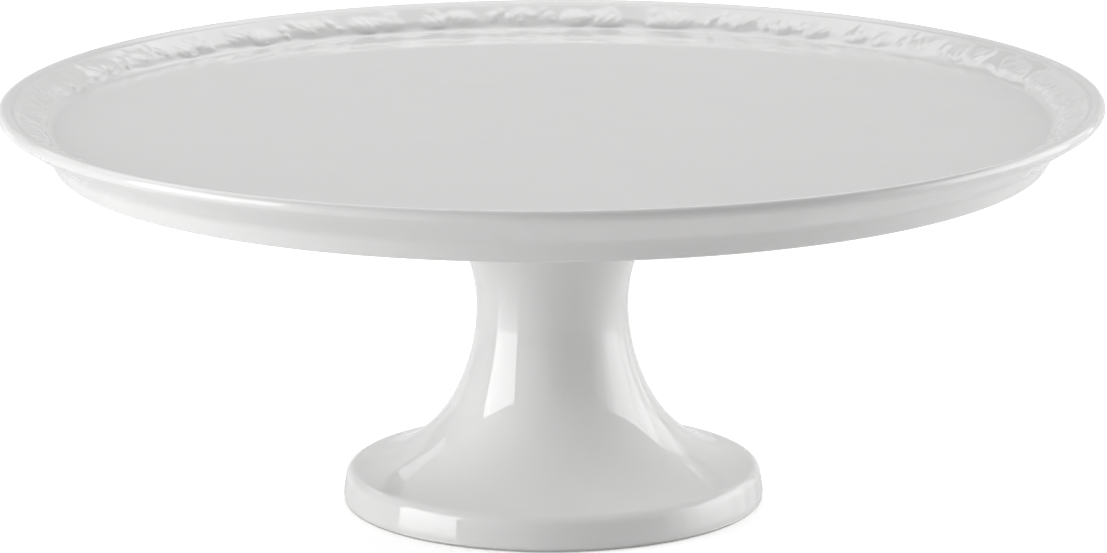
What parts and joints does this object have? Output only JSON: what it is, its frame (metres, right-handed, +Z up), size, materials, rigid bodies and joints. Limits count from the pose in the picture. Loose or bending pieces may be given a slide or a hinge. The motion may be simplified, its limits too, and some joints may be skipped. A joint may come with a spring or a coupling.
{
  "type": "cake stand",
  "caption": "Footed cake stand in white glazed porcelain: shallow round plate with a flared, leaf-moulded rim on a hollow waisted pedestal.",
  "frame": {"origin": "centre of the base ring, on the surface that the stand rests on", "axes": "+Z up along the axis of revolution, from the base ring to the rim; the stand is round, so X and Y are any two level directions"},
  "size_m": [0.33, 0.33, 0.1245],
  "materials": {
    "glaze_plate": "clear gloss glaze over white porcelain",
    "glaze_pedestal": "clear gloss glaze over white porcelain, wiped bare on the foot ring",
    "glaze_luting": "clear gloss glaze, slightly pooled"
  },
  "bodies": {
    "root": {"plate": "glaze_plate", "pedestal": "glaze_pedestal", "luting_ring": "glaze_luting"}
  },
  "joints": []
}
